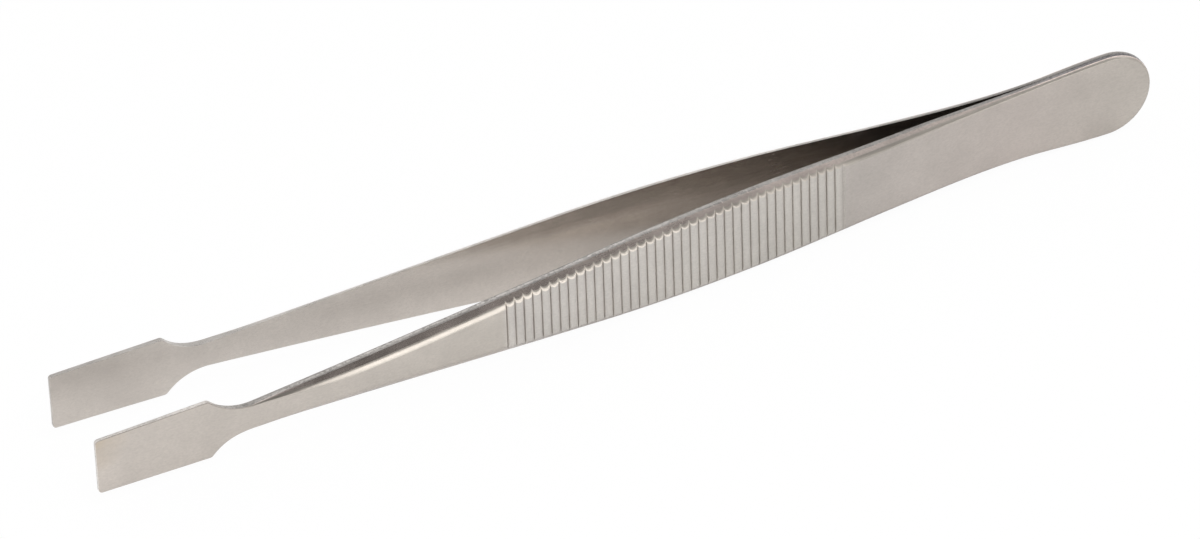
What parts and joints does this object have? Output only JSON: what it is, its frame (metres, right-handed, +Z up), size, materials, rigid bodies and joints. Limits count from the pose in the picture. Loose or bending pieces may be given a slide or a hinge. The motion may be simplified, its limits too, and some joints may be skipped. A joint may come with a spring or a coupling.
{
  "type": "wafer tweezers",
  "caption": "Satin steel wafer tweezers: two bowed spring arms, welded at a rounded tail, with flat square paddle tips and ribbed finger grips.",
  "frame": {"origin": "centre of the bounding box on its bottom plane, where the arms' long edges rest", "axes": "+X from the paddle tips to the welded tail, Y across the opening between the arms with front_arm on -Y, +Z up along the width of the arms"},
  "size_m": [0.12, 0.012, 0.0101],
  "materials": {
    "rear_arm_steel": "fine satin grain, brighter along the ground edges",
    "front_arm_steel": "fine satin grain, brighter along the ground edges"
  },
  "bodies": {
    "root": {"rear_arm": "rear_arm_steel", "front_arm": "front_arm_steel"}
  },
  "joints": []
}
